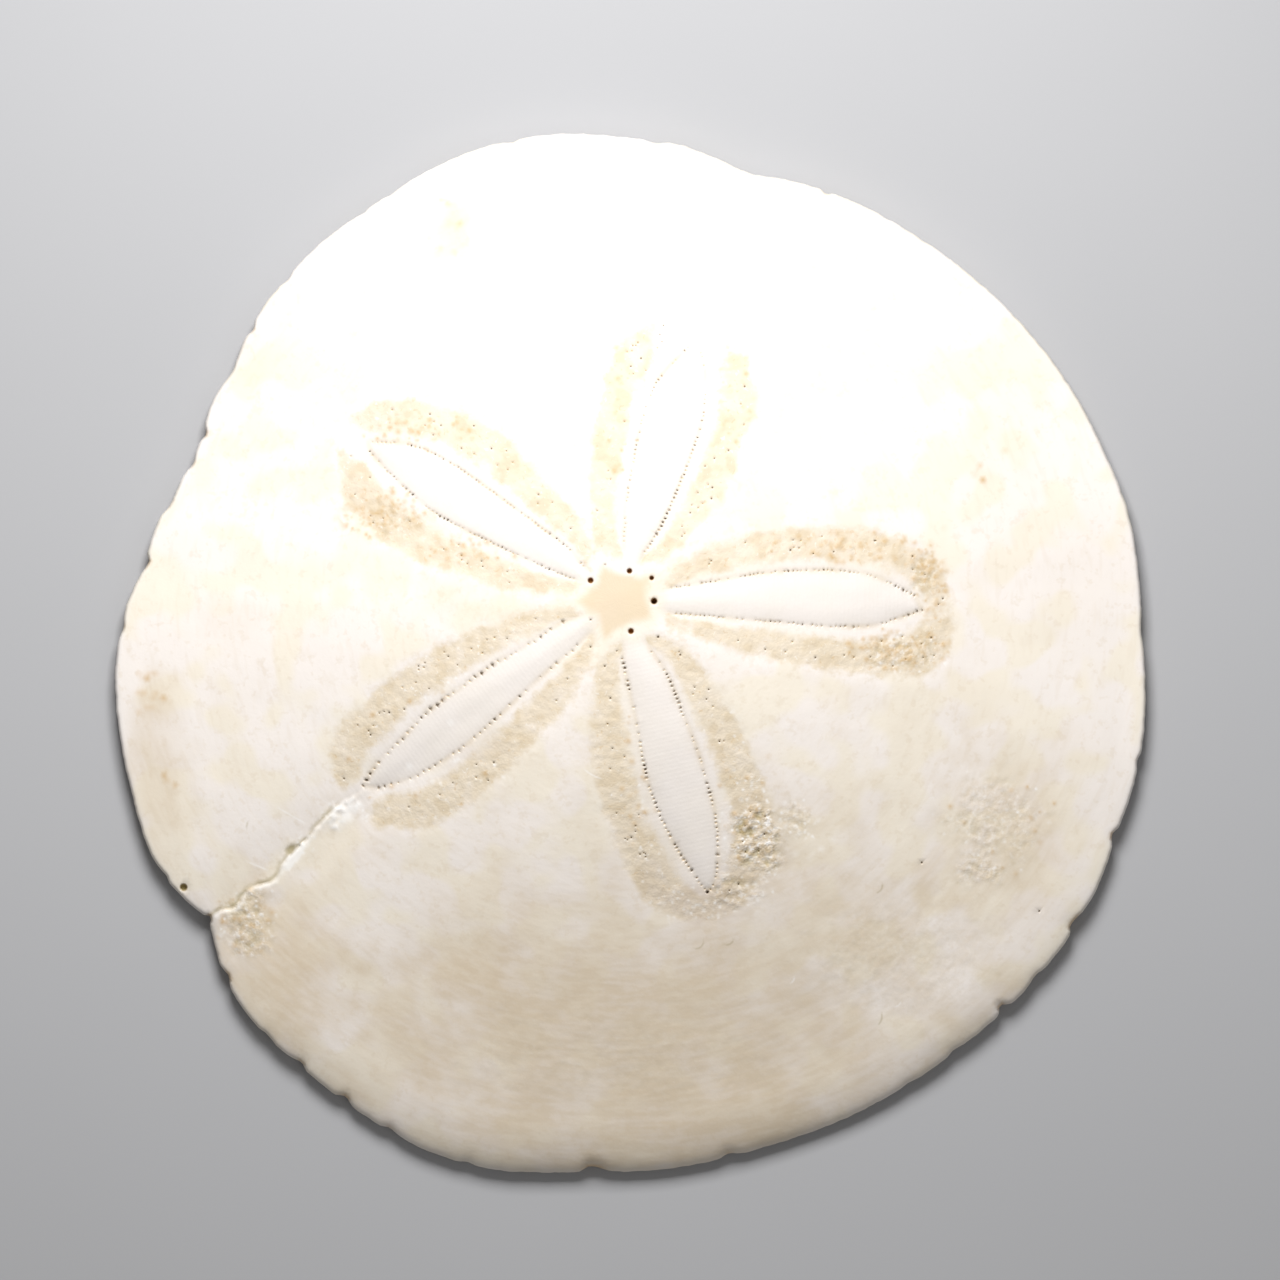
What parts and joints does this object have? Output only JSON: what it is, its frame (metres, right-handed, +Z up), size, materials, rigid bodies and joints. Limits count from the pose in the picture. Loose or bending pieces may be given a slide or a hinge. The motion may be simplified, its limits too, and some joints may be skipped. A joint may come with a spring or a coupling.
{
  "type": "sand dollar",
  "caption": "Dried sand dollar shell: a thin, low-domed disc with petals outlined by rows of pores on top and a mouth under it, lying flat.",
  "frame": {"origin": "bottom centre of the shell's bounding box, on the surface that it lies on", "axes": "+Z up out of the petal side, the short way through the disc; +X along the petal that points right in the picture, +Y towards the picture's top"},
  "size_m": [0.0998, 0.1006, 0.0139],
  "materials": {
    "shell": "matte, chalky, sun-bleached calcite"
  },
  "bodies": {
    "root": {"sand_dollar_shell": "shell"}
  },
  "joints": []
}
